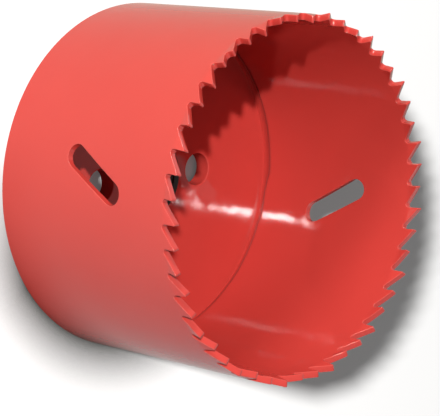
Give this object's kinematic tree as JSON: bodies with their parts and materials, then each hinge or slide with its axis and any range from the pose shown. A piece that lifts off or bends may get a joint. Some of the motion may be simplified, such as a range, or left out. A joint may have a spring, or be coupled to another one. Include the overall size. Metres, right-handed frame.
{
  "type": "hole saw",
  "caption": "Toothed steel cup for cutting round holes, with slanted plug-clearing slots and a threaded back plate that screws onto a drill arbor.",
  "frame": {"origin": "centre of the cup's rear edge, the ring on which the saw stands", "axes": "+Z along the saw's axis, from the back plate towards the teeth; -Y through the middle of one of the slanted slots"},
  "size_m": [0.077, 0.0769, 0.0504],
  "materials": {
    "cup_paint": "gloss enamel",
    "plate_paint": "gloss enamel"
  },
  "bodies": {
    "root": {"toothed_cup": "cup_paint", "back_plate": "plate_paint"}
  },
  "joints": []
}
